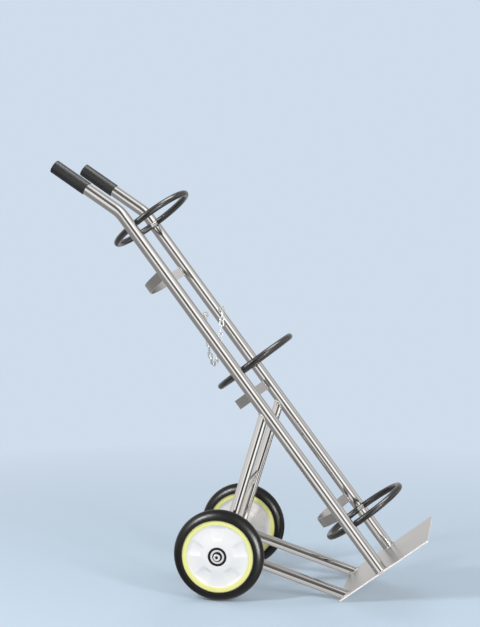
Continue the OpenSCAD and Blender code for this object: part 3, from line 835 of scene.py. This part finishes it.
def backdrop_rays(tree):
    """1 for the rays that show the backdrop: seen directly, in metal or through glass."""
    path = tree.nodes.new("ShaderNodeLightPath")
    seen = path.outputs["Is Camera Ray"]
    for ray in ("Is Glossy Ray", "Is Transmission Ray"):
        seen = combine(tree, "MAXIMUM", seen, path.outputs[ray])
    return seen


def blend_levels(tree, amount, low, high, way="MIX"):
    """A colour between two others, each a socket or a plain colour."""
    node = add_node(tree, "ShaderNodeMixRGB", blend_type=way, Fac=amount, Color1=low, Color2=high)
    return node.outputs["Color"]


def levels_across(tree, place, stops):
    """Levels of light that change across the room."""
    ramp = add_node(tree, "ShaderNodeValToRGB", Fac=between(tree, place, 0.0, 1.0, -1.0, 1.0))
    elements = ramp.color_ramp.elements
    while len(elements) < len(stops):
        elements.new(1.0)
    for element, (stop, level) in zip(elements, stops):
        element.position = (stop + 1) / 2
        element.color = (level, level, level, 1)
    return ramp.outputs["Color"]


def mirrored_studio(tree):
    """The room behind the camera with its strip light and floor, and the backdrop ahead of it."""
    way = tree.nodes.new("ShaderNodeTexCoord")
    parts = add_node(tree, "ShaderNodeSeparateXYZ", Vector=way.outputs["Generated"])
    depth, across, up = parts.outputs["X"], parts.outputs["Y"], parts.outputs["Z"]
    shallow = between(tree, up, 0.0, 1.0, *DEEP_FLOOR_END)
    floor = blend_levels(tree, shallow, levels_across(tree, across, DEEP_FLOOR_LEVELS),
                         levels_across(tree, across, FLOOR_LEVELS))
    past_floor = between(tree, depth, 0.0, 1.0, *LOW_BACKDROP_START)
    low = blend_levels(tree, past_floor, floor, levels_across(tree, across, LOW_BACKDROP_LEVELS))
    overhead = between(tree, up, 0.0, 1.0, *CEILING_START)
    wall = blend_levels(tree, overhead, levels_across(tree, across, WALL_LEVELS),
                        levels_across(tree, across, CEILING_LEVELS), "LIGHTEN")
    past_wall = between(tree, depth, 0.0, 1.0, *BACKDROP_START)
    high = blend_levels(tree, past_wall, wall, levels_across(tree, across, BACKDROP_LEVELS))
    above_floor = between(tree, up, 0.0, 1.0, *FLOOR_END)
    return blend_levels(tree, above_floor, low, high)


def studio_world():
    """A plain backdrop for the eye, a studio for the steel to mirror, and even light."""
    world = bpy.data.worlds.new("studio")
    bpy.context.scene.world = world
    world.use_nodes = True
    tree = world.node_tree
    tree.nodes.clear()
    output = tree.nodes.new("ShaderNodeOutputWorld")
    path = tree.nodes.new("ShaderNodeLightPath")
    seen = blend_levels(tree, path.outputs["Is Glossy Ray"], (*BACKDROP, 1), mirrored_studio(tree))
    shown = add_node(tree, "ShaderNodeBackground", Color=seen, Strength=1.0)
    lighting = add_node(tree, "ShaderNodeBackground", Color=(*EVEN_LIGHT, 1),
                        Strength=EVEN_LIGHT_STRENGTH)
    surface = mix_shaders(tree, backdrop_rays(tree), lighting.outputs["Background"],
                          shown.outputs["Background"])
    tree.links.new(surface, output.inputs["Surface"])


def studio_floor():
    """A round pale floor: it takes shadows near the object and fades to the backdrop."""
    bpy.ops.mesh.primitive_circle_add(vertices=FLOOR_CORNERS, radius=FLOOR_R, fill_type="NGON")
    floor = bpy.context.object
    floor.name = "studio_floor"
    material = bpy.data.materials.new("studio_floor")
    material.use_nodes = True
    tree = material.node_tree
    tree.nodes.clear()
    output = tree.nodes.new("ShaderNodeOutputMaterial")
    near = add_node(tree, "ShaderNodeBsdfPrincipled", Base_Color=(*FLOOR_COLOUR, 1),
                    Roughness=FLOOR_ROUGH)
    far = add_node(tree, "ShaderNodeEmission", Color=(*BACKDROP, 1), Strength=1.0)
    distance = add_node(tree, "ShaderNodeVectorMath", operation="LENGTH", Vector=object_place(tree))
    fade = between(tree, distance.outputs["Value"], 0.0, 1.0, *FLOOR_FADE)
    shown = combine(tree, "MULTIPLY", fade, backdrop_rays(tree))
    surface = mix_shaders(tree, shown, near.outputs["BSDF"], far.outputs["Emission"])
    tree.links.new(surface, output.inputs["Surface"])
    floor.data.materials.append(material)
    floor.visible_glossy = False


# Lamps: the tubes and bars mirror the studio alone, and the black rubber has lamps of its own

RIGHT_WHEEL = (-0.18, 0.04, 0.12)
KEY_PLACE = (-1.9, 1.9, 2.3)
KEY_SIZE = (0.4, 1.5)


def facing(start, end):
    """The rotation of a lamp or camera that looks from one point to another."""
    return (Vector(end) - Vector(start)).to_track_quat("-Z", "Y").to_euler()


def soft_lamp(name, place, target, size, power):
    light = bpy.data.lights.new(name, "AREA")
    light.shape = "RECTANGLE"
    light.size, light.size_y = size
    light.energy = power
    lamp = bpy.data.objects.new(name, light)
    lamp.location = place
    lamp.rotation_euler = facing(place, target)
    bpy.context.scene.collection.objects.link(lamp)
    return lamp


def pieces_with(*finishes):
    """A collection of the pieces whose first material is one of the finishes."""
    materials = [FINISHES[name] for name in finishes]
    group = bpy.data.collections.new("_".join(finishes))
    for piece in bpy.context.scene.objects:
        if piece.type == "MESH" and piece.data.materials and piece.data.materials[0] in materials:
            group.objects.link(piece)
    return group


def light_only(group, *lamps):
    """Keeps lamps on the pieces of a collection."""
    for lamp in lamps:
        lamp.light_linking.receiver_collection = group


def light_all_but(group, *lamps):
    """Keeps lamps off the pieces of a collection."""
    for member in group.collection_objects:
        member.light_linking.link_state = "EXCLUDE"
    light_only(group, *lamps)


def studio_lamps():
    key = soft_lamp("key_softbox", KEY_PLACE, target=(0, 0.1, 0.4), size=KEY_SIZE, power=49)
    front = soft_lamp("front_softbox", (-1.9, -2.2, 1.3), target=(0, 0, 0.4), size=(0.22, 1.7),
                      power=32)
    back = soft_lamp("back_softbox", (2.2, -0.6, 2.2), target=(0, 0, 0.6), size=(1.4, 1.0),
                     power=14)
    back.visible_glossy = False
    tubes_and_bars = pieces_with("rail", "upper_strut", "lower_strut", "cross", "cradle")
    light_all_but(tubes_and_bars, key, front)
    front_tyre = soft_lamp("front_tyre_softbox", (-1.4, -2.1, 0.4), target=RIGHT_WHEEL,
                           size=(1.2, 1.3), power=280)
    top_tyre = soft_lamp("top_tyre_softbox", KEY_PLACE, target=RIGHT_WHEEL, size=KEY_SIZE,
                         power=300)
    tyres = pieces_with("tyre")
    light_only(tyres, front_tyre, top_tyre)
    for tyre in tyres.objects:
        tyre.visible_glossy = False
    rubber = soft_lamp("rubber_softbox", (-0.2, -0.4, 3.2), target=(0, 0.1, 0.7), size=(1.4, 1.6),
                       power=80)
    light_only(pieces_with("grip", "sleeve"), rubber)


# The photograph's view: its width and focal length in pixels, and where its camera stood

PICTURE_W = 480
FOCAL_PIXELS = 1347
SENSOR_W = 36
VIEW_DEPTH = 200
CAMERA_AT = (-3.7299, -0.6691, 1.0423)
CAMERA_YAW = math.radians(10.409)
CAMERA_PITCH = math.radians(-4.087)


def studio_camera():
    camera = bpy.data.objects.new("camera", bpy.data.cameras.new("camera"))
    camera.data.sensor_fit = "HORIZONTAL"
    camera.data.sensor_width = SENSOR_W
    camera.data.lens = SENSOR_W * FOCAL_PIXELS / PICTURE_W
    camera.data.clip_end = VIEW_DEPTH
    camera.location = CAMERA_AT
    level = math.cos(CAMERA_PITCH)
    heading = Vector((level * math.cos(CAMERA_YAW), level * math.sin(CAMERA_YAW),
                      math.sin(CAMERA_PITCH)))
    camera.rotation_euler = facing((0, 0, 0), heading)
    bpy.context.scene.collection.objects.link(camera)
    bpy.context.scene.camera = camera


studio_world()
studio_floor()
studio_lamps()
studio_camera()
bpy.context.scene.view_settings.view_transform = "Standard"
